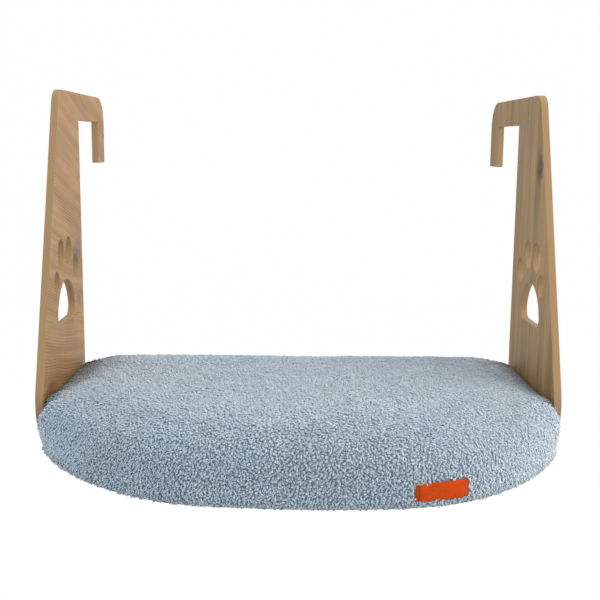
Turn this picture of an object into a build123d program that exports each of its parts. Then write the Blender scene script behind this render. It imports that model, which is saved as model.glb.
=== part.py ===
"""Pet bed that hangs on a radiator.

Two wooden hangers hook over the radiator and are bolted to the sides of a D-shaped board.
A foam core lies on the board, and a plush cover, zipped along its straight back, goes
round both. X runs across the bed, +Y points at the radiator and +Z is up. The origin is
under the middle of the whole object.
"""

import os

from build123d import *

# Bed: between the hangers' inner faces, and from their back edges to its front
bed_width = 500.0
bed_depth = 350.0
crown_height = 66.0
back_recess = 6.0
bulge = 8.0
shoulder_run = 194.0
straight_run = 150.0
roll = 25.0
overrun = 1.0

# Hangers
hanger_thickness = 8.0
hanger_height = 356.0
hanger_top_width = 89.0
hanger_foot_width = 219.5
foot_radius = 48.0
top_front_radius = 20.0
top_back_radius = 32.0
beam_height = 30.0
slot_depth = 112.0
leg_width = 40.0
leg_drop = 50.0
edge_break = 0.6

# Paw cut-out: width of its pad, and the middle of the pad's lower edge
paw_width = 80.0
paw_from_back = 85.0
paw_height = 113.0

# Board, cover and core
underside_thickness = 1.0
board_thickness = 15.0
board_inset = 10.0
board_chamfer = 3.0
pile = 8.0
pressed_pile = 2.0
hem = 12.0

# Bolts and barrel nuts
bolt_radius = 3.0
bolt_length = 45.0
bolt_hole_radius = 3.5
bolt_tip_chamfer = 0.6
head_radius = 7.5
head_thickness = 2.5
head_chamfer = 0.9
socket_width = 4.0
socket_depth = 3.0
rear_bolt_from_back = 35.0
bolt_spacing = 105.0
nut_radius = 5.0
nut_length = 12.0
nut_inset = 30.0
nut_clearance = 0.15
thread_clearance = 0.05
nut_slot_width = 1.2
nut_slot_depth = 1.0

# Zip, seen from behind: its mouth in the cover, tapes, teeth and stops
zip_height = 24.0
mouth_margin = 25.0
mouth_height = 14.0
tape_recess = 2.6
tape_thickness = 0.7
tape_width = 8.0
tape_tail = 5.0
cord_near = 2.6
cord_width = 1.2
tooth_pitch = 5.0
tooth_thickness = 2.4
tooth_neck = 1.5
tooth_head = 2.3
tooth_reach = 1.4
stop_margin = 3.0
stop_length = 3.0
stop_lip = 0.4

# Zip slider and puller
slider_length = 16.0
slider_wall = 1.2
channel_clearance = 0.3
shoulder_flare = 1.1
divider_length = 5.0
divider_width = 3.2
tape_clearance = 0.25
bridge_length = 10.0
bridge_width = 2.2
bridge_rise = 2.85
bridge_wall = 0.7
bar_radius = 0.65
bar_height = 1.1
puller_length = 24.0
puller_width = 6.6
puller_arm = 1.8
puller_window = 6.0
puller_hole_radius = 1.1
running_gap = 0.3

# Woven label on the front side
label_length = 47.0
label_height = 16.0
label_thickness = 0.8
label_x = 120.0
label_z = 13.0
label_search = 60.0

# Levels of the bed from the bottom up: height as a share of the crown, then how far the
# sides, the front and the back are drawn in, as shares of the roll
level_shares = (
    (0.00, 0.00, 0.20, 0.12),
    (0.30, 0.00, 0.00, 0.00),
    (0.62, 0.00, 0.08, 0.00),
    (0.79, 0.00, 0.28, 0.18),
    (0.89, 0.50, 0.64, 0.56),
    (0.96, 1.60, 1.60, 1.50),
    (1.00, 3.80, 3.90, 3.40),
)
core_shares = level_shares[:1] + level_shares[3:]
# Joints of the front's three arcs: shares of the half width, and of the front's depth
front_arc_shares = (0.324, 0.034)
corner_arc_shares = (0.621, 0.220)
shoulder_back_share = 0.2

# Paw: pad outline and toes (place, width, height as shares of the pad's width; tilt)
pad_side_shares = (0.37, 0.0), (0.50, 0.16)
pad_dome_shares = (0.33, 0.43), (0.0, 0.55)
toe_shares = (
    (-0.51, 0.57, 0.29, 0.30, 25),
    (-0.24, 0.91, 0.37, 0.39, 10),
    (0.20, 0.91, 0.37, 0.39, -10),
    (0.59, 0.65, 0.31, 0.34, -25),
)

# Shares of small shapes: tooth head, divider, bridge and puller
tooth_cheek_share = 0.2
divider_nose_share = 0.45
bridge_foot_share = 0.8
puller_waist_share = 0.8

# Places worked out from the sizes above
half_width = bed_width / 2
mouth_length = bed_width - 2 * mouth_margin
outer_x = half_width + hanger_thickness
wall_y = bed_depth - (bed_depth + slot_depth + leg_width) / 2
back_y = wall_y - back_recess
front_y = wall_y - bed_depth
shoulder_y = wall_y - shoulder_run
straight_y = wall_y - straight_run
slot_top = hanger_height - beam_height
hook_back_y = wall_y + slot_depth + leg_width
board_top = underside_thickness + board_thickness
bolt_z = underside_thickness + board_thickness / 2
rear_bolt_y = wall_y - rear_bolt_from_back
front_bolt_y = rear_bolt_y - bolt_spacing
nut_x = half_width - pressed_pile - nut_inset

# The zip's own frame: x along it towards its closed end, y up, z out of the bed's back
tape_y = back_y - tape_recess
zip_plane = Plane(origin=(0, tape_y, zip_height), x_dir=(-1, 0, 0), z_dir=(0, 1, 0))
chain_half = cord_near + cord_width
tape_half = mouth_length / 2 + tape_tail
stop_end = mouth_length / 2 - stop_margin
stop_start = stop_end - stop_length
slider_place = stop_start - running_gap - slider_length / 2
slider_travel = slider_place + stop_start - running_gap - slider_length / 2
channel_half = tooth_thickness / 2 + channel_clearance
slider_half_height = channel_half + slider_wall
slider_half_width = chain_half + channel_clearance + slider_wall
bar_level = slider_half_height + bar_height


def bed_form(side_x, shoulder_x, front, back, floor, ceiling, rows=level_shares):
    """Crowned D: levels of a straight back and sides and three arcs, lofted upwards."""
    levels = []
    for height_share, side_share, front_share, back_share in rows:
        draw = front_share * roll
        side = side_x - side_share * roll
        shoulder = (shoulder_x - draw, shoulder_y + draw * shoulder_back_share)
        height = floor + height_share * (ceiling - floor)
        levels.append(d_outline(height, side, shoulder, front + draw, back - back_share * roll))
    with BuildPart() as form:
        loft(levels, ruled=True)
    return form.part


def d_outline(height, side, shoulder, front, back):
    """One level of the bed, as a face at its height."""
    depth = shoulder[1] - front
    front_joint, corner_joint = (
        (shoulder[0] * across, front + depth * along)
        for across, along in (front_arc_shares, corner_arc_shares)
    )
    with BuildSketch(Plane.XY.offset(height)) as level:
        with BuildLine():
            front_arc = TangentArc((0, front), front_joint, tangent=(1, 0))
            corner_arc = TangentArc(front_joint, corner_joint, tangent=front_arc % 1)
            TangentArc(corner_joint, shoulder, tangent=corner_arc % 1)
            Polyline(shoulder, (side, straight_y), (side, back), (0, back))
            mirror(about=Plane.YZ)
        make_face()
    return level.sketch


def paw_cut_out():
    """Pad and four toes, as one sketch with its origin under the pad."""
    with BuildSketch() as paw:
        with BuildLine():
            for side in (-1, 1):
                foot, hip = ((side * across * paw_width, up * paw_width) for across, up in pad_side_shares)
                dome, apex = ((side * across * paw_width, up * paw_width) for across, up in pad_dome_shares)
                Line((0, 0), foot)
                TangentArc(foot, hip, tangent=(side, 0))
                ThreePointArc(hip, dome, apex)
        make_face()
        for across, up, width_share, height_share, tilt in toe_shares:
            with Locations((across * paw_width, up * paw_width)):
                Ellipse(width_share * paw_width / 2, height_share * paw_width / 2, rotation=tilt)
    return paw.sketch


# Hanger: slanted front edge, square hook over the radiator, paw cut-out, two bolt holes
foot = (wall_y - hanger_foot_width, 0)
top_front = (wall_y - hanger_top_width, hanger_height)
top_back = (hook_back_y, hanger_height)
with BuildPart() as right_hanger:
    with BuildSketch(Plane.YZ.offset(half_width)) as profile:
        with BuildLine():
            Polyline(
                foot,
                (wall_y, 0),
                (wall_y, slot_top),
                (wall_y + slot_depth, slot_top),
                (wall_y + slot_depth, slot_top - leg_drop),
                (hook_back_y, slot_top - leg_drop),
                top_back,
                top_front,
                close=True,
            )
        make_face()
        for corner, radius in (
            (foot, foot_radius),
            (top_front, top_front_radius),
            (top_back, top_back_radius),
        ):
            fillet(profile.vertices().sort_by_distance(corner)[0], radius)
        with Locations((wall_y - paw_from_back, paw_height)):
            add(paw_cut_out(), mode=Mode.SUBTRACT)
    extrude(amount=hanger_thickness)
    chamfer(right_hanger.faces().filter_by(Axis.X).edges(), edge_break)
    with BuildSketch(Plane.YZ.offset(half_width)):
        with Locations((rear_bolt_y, bolt_z), (front_bolt_y, bolt_z)):
            Circle(bolt_hole_radius)
    extrude(amount=hanger_thickness, mode=Mode.SUBTRACT)

with BuildPart() as left_hanger:
    mirror(right_hanger.part, about=Plane.YZ)

# Board: D-shaped, with holes from its edges for the bolts and from below for their nuts
with BuildPart() as plain_board:
    with BuildSketch(Plane.XY.offset(underside_thickness)):
        add(d_outline(0, half_width - pressed_pile,
                      (half_width + bulge - board_inset, shoulder_y),
                      front_y + board_inset, back_y - pile))
    extrude(amount=board_thickness)
    chamfer(plain_board.faces().sort_by(Axis.Z)[0].edges(), board_chamfer)

with BuildPart() as base_board:
    add(plain_board.part)
    for side in (-1, 1):
        edge = Plane(origin=(side * half_width, 0, bolt_z), x_dir=(0, 1, 0), z_dir=(side, 0, 0))
        with BuildSketch(edge):
            with Locations((rear_bolt_y, 0), (front_bolt_y, 0)):
                Circle(bolt_hole_radius)
        extrude(amount=-(bolt_length - hanger_thickness + nut_radius), mode=Mode.SUBTRACT)
    with BuildSketch(Plane.XY.offset(underside_thickness)):
        for side in (-1, 1):
            with Locations((side * nut_x, rear_bolt_y), (side * nut_x, front_bolt_y)):
                Circle(nut_radius + nut_clearance)
    extrude(amount=(board_thickness + nut_length) / 2 + nut_clearance, mode=Mode.SUBTRACT)

# Foam core: follows the cover's form, one pile thickness inside it
foam = bed_form(half_width - pressed_pile, half_width + bulge - board_inset, front_y + pile,
                back_y - pile, board_top, crown_height - pile, rows=core_shares)
with BuildPart() as foam_core:
    add(foam)

# Underside: the plain fabric panel inside the cover's hem
panel_inset = roll * level_shares[0][2] + hem
with BuildPart() as underside_panel:
    with BuildSketch():
        add(d_outline(0, half_width - hem, (half_width + bulge - panel_inset, shoulder_y),
                      front_y + panel_inset, back_y - panel_inset))
    extrude(amount=underside_thickness)

# Zip tapes, each held in the cover's wall above or below the mouth
with BuildPart() as zip_tape_upper:
    with BuildSketch(zip_plane):
        with Locations((0, chain_half + tape_width / 2)):
            Rectangle(2 * tape_half, tape_width)
    extrude(amount=tape_thickness / 2, both=True)

with BuildPart() as zip_tape_lower:
    with BuildSketch(zip_plane):
        with Locations((0, -chain_half - tape_width / 2)):
            Rectangle(2 * tape_half, tape_width)
    extrude(amount=tape_thickness / 2, both=True)


def teeth_row(side):
    """Cord at a tape's edge with its moulded teeth: side is 1 for the upper row, -1 below."""
    first = -stop_start + tooth_pitch / 2 + (1 + side) * tooth_pitch / 4
    last = slider_place + slider_length / 2 - divider_length - tooth_head
    half_tooth = (
        (tooth_neck / 2, cord_near),
        (tooth_head / 2, -tooth_reach * tooth_cheek_share),
        (tooth_neck / 2, -tooth_reach),
    )
    tooth = [*((-across, up) for across, up in half_tooth), *reversed(half_tooth)]
    edge = [
        (first + step * tooth_pitch + across, side * up)
        for step in range(int((last - first) // tooth_pitch) + 1)
        for across, up in tooth
    ]
    with BuildPart() as row:
        with BuildSketch(zip_plane):
            with BuildLine():
                Polyline(
                    (-stop_end, side * chain_half),
                    (-stop_end, side * cord_near),
                    *edge,
                    (stop_end, side * cord_near),
                    (stop_end, side * chain_half),
                    close=True,
                )
            make_face()
        extrude(amount=tooth_thickness / 2, both=True)
    return row


zip_teeth_upper = teeth_row(1)
zip_teeth_lower = teeth_row(-1)

# Stops: one across both rows where the zip opens, one on each row at its closed end
with BuildPart() as zip_stops:
    with BuildSketch(zip_plane):
        with Locations((-stop_start - stop_length / 2, 0)):
            Rectangle(stop_length, 2 * (chain_half + stop_lip))
        for side in (-1, 1):
            with Locations((stop_start + stop_length / 2, side * (cord_near + cord_width / 2))):
                Rectangle(stop_length, cord_width + 2 * stop_lip)
    extrude(amount=tooth_thickness / 2 + stop_lip, both=True)
    for row in (zip_teeth_upper, zip_teeth_lower, zip_tape_upper, zip_tape_lower):
        add(row.part, mode=Mode.SUBTRACT)

# Slider: two plates joined by the divider at its wide end, with a bridge for the puller
slider_plane = zip_plane.shift_origin(zip_plane.from_local_coords((slider_place, 0, 0)))
half_length = slider_length / 2


def slider_outline(inset):
    """The slider's plan, narrow behind and flared in front, drawn in by inset."""
    rear, front = slider_half_width - inset, slider_half_width + shoulder_flare - inset
    neck = half_length - divider_length - shoulder_flare
    end = half_length + (overrun if inset else 0)
    points = ((-end, rear), (neck, rear), (half_length - shoulder_flare, front), (end, front))
    Polygon(*points, *((along, -across) for along, across in reversed(points)), align=None)


with BuildPart() as zip_slider:
    with BuildSketch(slider_plane):
        slider_outline(0)
    extrude(amount=slider_half_height, both=True)
    fillet(zip_slider.edges().filter_by(Axis.Y), slider_wall / 2)
    with BuildSketch(slider_plane):
        slider_outline(slider_wall)
    extrude(amount=channel_half, both=True, mode=Mode.SUBTRACT)
    with BuildSketch(slider_plane):
        Rectangle(2 * slider_length, 2 * slider_length)
    extrude(amount=tape_thickness / 2 + tape_clearance, both=True, mode=Mode.SUBTRACT)
    with BuildSketch(slider_plane):
        nose = half_length - divider_length
        cheek = nose + divider_length * divider_nose_share
        Polygon((nose, 0), (cheek, divider_width / 2), (half_length, divider_width / 2),
                (half_length, -divider_width / 2), (cheek, -divider_width / 2), align=None)
    extrude(amount=slider_half_height - slider_wall / 2, both=True)
    with BuildSketch(Plane(origin=slider_plane.origin, x_dir=(-1, 0, 0), z_dir=(0, 0, 1))):
        base = slider_half_height - slider_wall / 2
        crest = slider_half_height + bridge_rise
        reach, crown = bridge_length / 2, bridge_length * bridge_foot_share / 2
        Polygon((-reach, -base), (-crown, -crest), (crown, -crest), (reach, -base), align=None)
    extrude(amount=bridge_width / 2, both=True)
    with BuildSketch(Plane(origin=slider_plane.origin, x_dir=(-1, 0, 0), z_dir=(0, 0, 1))):
        inner = crown - bridge_wall
        low, high = slider_half_height, crest - bridge_wall
        Polygon((-inner, -low), (-inner, -high), (inner, -high), (inner, -low), align=None)
    extrude(amount=bridge_width, both=True, mode=Mode.SUBTRACT)

# Puller: a bar under the bridge, two arms beside it, and a tab with a rounded end
puller_plane = slider_plane.offset(bar_level)
with BuildPart() as zip_puller:
    with BuildSketch(puller_plane):
        waist = puller_width * puller_waist_share / 2
        tip = bar_radius - puller_length
        with BuildLine():
            Polyline((tip + waist, waist), (-puller_window, waist), (-puller_window / 2, puller_width / 2),
                     (bar_radius, puller_width / 2), (bar_radius, -puller_width / 2),
                     (-puller_window / 2, -puller_width / 2), (-puller_window, -waist), (tip + waist, -waist))
            ThreePointArc((tip + waist, waist), (tip, 0), (tip + waist, -waist))
        make_face()
        with Locations((-(puller_window + bar_radius) / 2, 0)):
            Rectangle(puller_window - bar_radius, puller_width - 2 * puller_arm, mode=Mode.SUBTRACT)
        with Locations((tip + waist, 0)):
            Circle(puller_hole_radius, mode=Mode.SUBTRACT)
    extrude(amount=bar_radius, both=True)
    fillet(zip_puller.edges().filter_by(Axis.Z).sort_by(Axis.X)[:2], bar_radius / 2)

# Room that the hangers' feet take up beside the plush
with BuildPart() as hanger_room:
    for side in (-1, 1):
        with BuildSketch(Plane.YZ.offset(side * half_width)) as profile:
            with BuildLine():
                Polyline(foot, (wall_y, 0), (wall_y, slot_top), top_front, close=True)
            make_face()
            fillet(profile.vertices().sort_by_distance(foot)[0], foot_radius)
        extrude(amount=side * (hanger_thickness + overrun))

# Plush cover: the whole outer form, less what it holds, what presses on it and its openings
plush_form = bed_form(half_width + overrun, half_width + bulge, front_y, back_y, 0, crown_height)
with BuildPart() as plush_cover:
    add(plush_form)
    for piece in (hanger_room, plain_board, foam_core, underside_panel,
                  zip_tape_upper, zip_tape_lower):
        add(piece.part, mode=Mode.SUBTRACT)
    with BuildSketch(zip_plane.offset(-pile + tape_recess)):
        Rectangle(mouth_length, mouth_height)
    extrude(amount=2 * pile, mode=Mode.SUBTRACT)
    with BuildSketch(Plane.YZ):
        with Locations((rear_bolt_y, bolt_z), (front_bolt_y, bolt_z)):
            Circle(bolt_hole_radius)
    extrude(amount=half_width, both=True, mode=Mode.SUBTRACT)

# Label: lies on the plush, one thickness proud of it
label_form = bed_form(half_width + overrun, half_width + bulge + label_thickness,
                      front_y - label_thickness, back_y, 0, crown_height)
with BuildPart() as woven_label:
    with BuildSketch(Plane.XZ.offset(-front_y - label_search)):
        with Locations((label_x, label_z)):
            Rectangle(label_length, label_height)
    extrude(amount=2 * label_search)
    add(label_form, mode=Mode.INTERSECT)
    add(plush_form, mode=Mode.SUBTRACT)


def bolt(side, y):
    """Flat-headed furniture bolt with a hex socket, from outside the hanger."""
    face = Plane(origin=(side * outer_x, y, bolt_z), x_dir=(0, 1, 0), z_dir=(side, 0, 0))
    with BuildPart() as fastener:
        with BuildSketch(face):
            Circle(head_radius)
        extrude(amount=head_thickness)
        chamfer(fastener.faces().sort_by(Axis.X)[-1 if side > 0 else 0].edges(), head_chamfer)
        with BuildSketch(face):
            Circle(bolt_radius)
        extrude(amount=-bolt_length)
        chamfer(fastener.faces().sort_by(Axis.X)[0 if side > 0 else -1].edges(), bolt_tip_chamfer)
        with BuildSketch(face.offset(head_thickness)):
            RegularPolygon(socket_width / 2, 6, major_radius=False)
        extrude(amount=-socket_depth, mode=Mode.SUBTRACT)
    return fastener


def barrel_nut(side, y):
    """Cross nut standing in the board, with a slot in its lower end to turn it by."""
    with BuildPart() as nut:
        with BuildSketch(Plane.XY.offset(bolt_z - nut_length / 2)):
            with Locations((side * nut_x, y)):
                Circle(nut_radius)
        extrude(amount=nut_length)
        with BuildSketch(Plane.YZ.offset(side * nut_x)):
            with Locations((y, bolt_z)):
                Circle(bolt_radius + thread_clearance)
        extrude(amount=2 * nut_radius, both=True, mode=Mode.SUBTRACT)
        with BuildSketch(Plane.XY.offset(bolt_z - nut_length / 2)):
            with Locations((side * nut_x, y)):
                Rectangle(2 * nut_radius, nut_slot_width)
        extrude(amount=nut_slot_depth, mode=Mode.SUBTRACT)
    return nut


pieces = {
    "left_hanger": left_hanger,
    "right_hanger": right_hanger,
    "base_board": base_board,
    "foam_core": foam_core,
    "plush_cover": plush_cover,
    "underside_panel": underside_panel,
    "woven_label": woven_label,
    "zip_tape_upper": zip_tape_upper,
    "zip_tape_lower": zip_tape_lower,
    "zip_teeth_upper": zip_teeth_upper,
    "zip_teeth_lower": zip_teeth_lower,
    "zip_stops": zip_stops,
    "zip_slider": zip_slider,
    "zip_puller": zip_puller,
}
for side_name, side in (("left", -1), ("right", 1)):
    for end_name, y in (("front", front_bolt_y), ("rear", rear_bolt_y)):
        pieces[f"bolt_{side_name}_{end_name}"] = bolt(side, y)
        pieces[f"barrel_nut_{side_name}_{end_name}"] = barrel_nut(side, y)

os.makedirs("parts", exist_ok=True)
for name, piece in pieces.items():
    piece.part.label = name
    export_step(piece.part, f"parts/{name}.step")

print("zip slider: rest x", -slider_place, "travel", slider_travel)
print("puller bar: y", tape_y + bar_level, "z", zip_height)
print("wall y", wall_y, "slot top", slot_top, "outer x", outer_x)
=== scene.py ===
"""Plush bed for a pet that hangs on a radiator: the looks round its fixed frame.

Lengths are in metres. X runs across the bed, +Y points at the radiator and +Z is up.
"""

import math

import bpy
import numpy as np
from mathutils import Matrix, Vector
from mathutils.bvhtree import BVHTree


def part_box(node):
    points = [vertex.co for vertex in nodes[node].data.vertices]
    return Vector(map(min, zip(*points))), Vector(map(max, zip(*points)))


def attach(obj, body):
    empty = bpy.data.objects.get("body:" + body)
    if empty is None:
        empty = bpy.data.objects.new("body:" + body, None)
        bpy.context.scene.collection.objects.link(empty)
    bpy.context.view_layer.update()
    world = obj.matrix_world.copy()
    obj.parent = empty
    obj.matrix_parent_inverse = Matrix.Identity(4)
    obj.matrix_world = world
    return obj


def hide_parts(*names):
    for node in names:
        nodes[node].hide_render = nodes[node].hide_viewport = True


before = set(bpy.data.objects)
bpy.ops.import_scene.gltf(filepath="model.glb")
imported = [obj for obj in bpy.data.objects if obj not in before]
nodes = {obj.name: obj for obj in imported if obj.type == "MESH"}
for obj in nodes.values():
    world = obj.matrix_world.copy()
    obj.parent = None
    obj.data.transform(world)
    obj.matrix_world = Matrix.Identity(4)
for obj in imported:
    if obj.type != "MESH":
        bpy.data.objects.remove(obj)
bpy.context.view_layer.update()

# The bed's places, as in its frame
INNER_X = 0.250  # the hangers' inner faces
BOARD_X = 0.254  # the middle of a hanger's board
FRONT_Y = -0.251
BACK_Y = 0.093
CROWN_Z = 0.066
SHOULDER = (0.258, -0.095)  # where the front's curve meets a side
STRAIGHT_Y = -0.051  # the sides run straight from here to the back
ROLL = 0.025  # the rounding between the top and the sides

# Levels of the bed: height as a share of the crown, then how far its sides, front and back
# are drawn in, as shares of the roll
LEVELS = (
    (0.00, 0.00, 0.14, 0.12),
    (0.30, 0.00, 0.00, 0.00),
    (0.62, 0.00, 0.08, 0.00),
    (0.79, 0.00, 0.28, 0.18),
    (0.89, 0.50, 0.64, 0.56),
    (0.96, 1.60, 1.60, 1.50),
    (1.00, 3.80, 3.90, 3.40),
)
ARC_JOINTS = ((0.324, 0.034), (0.621, 0.220))  # on the front's curve, as shares of its shoulder
ARC_POINTS = 24
OUTLINE_STEP = 0.006

# The plush cover
PILE_DEPTH = 0.0029
FLOOR_GAP = 0.0009
PILE_LOW = 0.0003  # the lowest that its tufts may reach
HEM = 0.012
PLUMP_FRAMES = 20

# The zip's mouth in the cover's back
MOUTH_Z = 0.024
MOUTH_HALF = (0.225, 0.007)
MOUTH_Y = (0.0855, 0.11)  # the space that is cut out behind it
MOUTH_FACE_Y = 0.0914  # the cloth round it, which lies flat there
MOUTH_FLAT = (0.236, 0.014)
SEAM_ROOM = 0.0036  # bare cloth round the mouth, for its topstitching
TAB_HALF = (0.238, 0.0075)  # bare cloth under the pull tab, wherever it slides and swings

# The foam: how far it stays inside the cover, then its lowest, furthest back and widest points
FOAM_INSET = 0.0105
FOAM_BASE = 0.0165
FOAM_LOW, FOAM_BACK, FOAM_SIDE = 0.0163, 0.0815, 0.2415

# The woven label on the front, along X and Z
LABEL_MIDDLE = (0.1185, 0.0148)
LABEL_HALF = (0.0235, 0.0080)

# The photograph: its size, its lens and how far its middle is shifted, in pixels
PHOTO_SIZE = 600
PHOTO_LENS = 969.81
PHOTO_SHIFT = (-11.67, 3.52)

FLOOR_Z = -0.30
WORLD_LIGHT = 0.76


def paint(red, green, blue):
    """A colour as it shows on screen, 0 to 255, in Blender's linear values."""
    linear = [
        (c / 255 / 12.92 if c <= 10 else ((c / 255 + 0.055) / 1.055) ** 2.4)
        for c in (red, green, blue)
    ]
    return (*linear, 1.0)


class Field:
    """A socket whose number or colour changes over a surface; arithmetic adds Math nodes."""

    def __init__(self, tree, socket):
        self.tree, self.socket = tree, socket

    def maths(self, operation, *values):
        return self.tree.add("ShaderNodeMath", {"operation": operation}, dict(enumerate(values)))

    def __add__(self, other):
        return self.maths("ADD", self, other)

    def __mul__(self, other):
        return self.maths("MULTIPLY", self, other)

    def __sub__(self, other):
        return self.maths("SUBTRACT", self, other)

    def __rsub__(self, other):
        return self.maths("SUBTRACT", other, self)

    def __truediv__(self, other):
        return self.maths("DIVIDE", self, other)

    def __neg__(self):
        return self.maths("MULTIPLY", self, -1.0)

    def __pow__(self, other):
        return self.maths("POWER", self, other)

    def __abs__(self):
        return self.maths("ABSOLUTE", self)

    def wave(self):
        """The sine of this angle, brought between 0 and 1."""
        return self.maths("SINE", self) * 0.5 + 0.5

    def above(self, other):
        return self.maths("GREATER_THAN", self, other)

    def most(self, other):
        return self.maths("MAXIMUM", self, other)

    def ease(self, low, high, start=0.0, end=1.0):
        """Smoothly from start at low to end at high."""
        return self.tree.add(
            "ShaderNodeMapRange",
            {"interpolation_type": "SMOOTHSTEP"},
            {"Value": self, "From Min": low, "From Max": high, "To Min": start, "To Max": end},
        )


class Tree:
    """A node tree that its add method fills."""

    def __init__(self, tree):
        self.tree = tree
        tree.nodes.clear()

    def add(self, kind, settings=None, values=None, output=0):
        """One node: its settings, then its sockets' values or links. Gives the output asked for."""
        node = self.tree.nodes.new(kind)
        for name, value in (settings or {}).items():
            setattr(node, name, value)
        for name, value in (values or {}).items():
            self.feed(node.inputs[name], value)
        if isinstance(output, tuple):
            return [Field(self, node.outputs[name]) for name in output]
        return Field(self, node.outputs[output]) if len(node.outputs) else None

    def feed(self, socket, value):
        if isinstance(value, (list, tuple)) and value and isinstance(value[0], Field):
            for each in value:
                self.feed(socket, each)
        elif isinstance(value, Field):
            self.tree.links.new(value.socket, socket)
        else:
            socket.default_value = value

    def blend(self, share, first, second, way="MIX"):
        settings = {"data_type": "RGBA", "blend_type": way}
        return self.add("ShaderNodeMix", settings, {0: share, 6: first, 7: second}, output=2)


class Finish(Tree):
    """A material: patterns are built with its methods and end in one Principled shader."""

    def __init__(self, name):
        self.material = bpy.data.materials.new(name)
        self.material.use_nodes = True
        super().__init__(self.material.node_tree)
        self.place = self.add("ShaderNodeTexCoord", output="Object")
        self.x, self.y, self.z = self.add(
            "ShaderNodeSeparateXYZ", None, {0: self.place}, output=("X", "Y", "Z"))

    def join(self, x, y, z):
        return self.add("ShaderNodeCombineXYZ", None, {0: x, 1: y, 2: z})

    def attribute(self, name):
        return self.add("ShaderNodeAttribute", {"attribute_name": name}, output="Fac")

    def noise(self, where, scale, detail=3.0, rough=0.5):
        values = {"Vector": where, "Scale": scale, "Detail": detail, "Roughness": rough}
        return self.add("ShaderNodeTexNoise", None, values)

    def bump(self, height, distance, strength):
        values = {"Height": height, "Distance": distance, "Strength": strength}
        return self.add("ShaderNodeBump", None, values)

    def finish(self, colour, roughness, normal, **plain):
        values = {"Base Color": colour, "Roughness": roughness, "Normal": normal}
        values |= {name.replace("_", " "): value for name, value in plain.items()}
        shader = self.add("ShaderNodeBsdfPrincipled", None, values)
        self.add("ShaderNodeOutputMaterial", None, {"Surface": shader})
        return self.material


# ------------------------------------------------------------------ the bed's outline


def tangent_arc(start, heading, end):
    """The arc that leaves start along heading and reaches end: its points and last heading."""
    start, end, heading = (np.array(p, float) for p in (start, end, heading))
    heading /= np.linalg.norm(heading)
    left = np.array([-heading[1], heading[0]])
    chord = end - start
    radius = chord @ chord / (2 * (chord @ left))
    centre = start + radius * left
    turn = 2 * math.atan2(chord @ left, chord @ heading)
    angles = turn * np.arange(1, ARC_POINTS + 1) / ARC_POINTS
    spoke = start - centre
    points = np.c_[
        spoke[0] * np.cos(angles) - spoke[1] * np.sin(angles),
        spoke[0] * np.sin(angles) + spoke[1] * np.cos(angles),
    ] + centre
    end_heading = np.array([
        heading[0] * math.cos(turn) - heading[1] * math.sin(turn),
        heading[0] * math.sin(turn) + heading[1] * math.cos(turn),
    ])
    return points, end_heading


def even_ring(outline, count=None):
    """The same closed outline with count points, or one at each OUTLINE_STEP, evenly spaced."""
    closed = np.concatenate([outline, outline[:1]])
    runs = np.r_[0, np.cumsum(np.linalg.norm(np.diff(closed, axis=0), axis=1))]
    count = count or round(runs[-1] / OUTLINE_STEP)
    where = np.arange(count) * runs[-1] / count
    return np.c_[np.interp(where, runs, closed[:, 0]), np.interp(where, runs, closed[:, 1])]


def bed_outline(side, shoulder, front, back):
    """A level of the bed, as evenly spaced points from the middle of its front, anticlockwise."""
    depth = shoulder[1] - front
    joints = [(shoulder[0] * a, front + depth * b) for a, b in ARC_JOINTS]
    points, heading, last = [np.array([[0.0, front]])], (1.0, 0.0), (0.0, front)
    for joint in (*joints, shoulder):
        arc, heading = tangent_arc(last, heading, joint)
        points.append(arc)
        last = joint
    points.append(np.array([(side, STRAIGHT_Y), (side, back), (0.0, back)]))
    half = np.concatenate(points)
    return even_ring(np.concatenate([half, (half * [-1, 1])[-2:0:-1]]))


def curve_through(values, where, closed=False):
    """Points on a smooth curve through rows of values, at places counted in rows."""
    where = np.atleast_1d(np.asarray(where, float))
    first = np.floor(where).astype(int)
    count = len(values)
    if not closed:
        first = np.minimum(first, count - 2)
    t = (where - first).reshape(-1, *[1] * (values.ndim - 1))
    before, here, after, beyond = (
        values[(first + k) % count if closed else np.clip(first + k, 0, count - 1)]
        for k in (-1, 0, 1, 2)
    )
    bend = 2 * before - 5 * here + 4 * after - beyond
    swing = 3 * here - before - 3 * after + beyond
    return 0.5 * (2 * here + (after - before) * t + bend * t**2 + swing * t**3)


def bed_rings(inset, low, high, rows, count):
    """Rings of points over the bed's form, drawn in by inset, from under its middle to over it."""
    rings = []
    for row in range(rows):
        level = row / (rows - 1) * (len(LEVELS) - 1)
        height, side, front, back = curve_through(np.array(LEVELS), level)[0]
        draw = front * ROLL + inset
        shoulder = (SHOULDER[0] - draw, SHOULDER[1] + draw * 0.2)
        half_width = INNER_X - inset * 0.4 - side * ROLL  # pressed flat by the hangers
        outline = bed_outline(half_width, shoulder, FRONT_Y + draw, BACK_Y - inset - back * ROLL)
        rings.append(np.c_[even_ring(outline, count), np.full(count, low + height * (high - low))])
    under, over = 6, 14  # the rings that close it
    for ring, rounds, place in ((rings[0], under, 0), (rings[-1], over, rows + under - 1)):
        middle = ring.mean(0)
        inner = [middle + (ring - middle) * share / rounds for share in range(rounds - 1, 0, -1)]
        rings[place:place] = inner[::-1] if place == 0 else inner
    return np.array(rings)


def refined(rings, up, along):
    """The same form with up times the rings and along times the points in each."""
    rings = curve_through(rings, np.arange((len(rings) - 1) * up + 1) / up)
    places = np.arange(rings.shape[1] * along) / along
    return curve_through(rings.transpose(1, 0, 2), places, closed=True).transpose(1, 0, 2)


# ------------------------------------------------------------------ meshes


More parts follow.
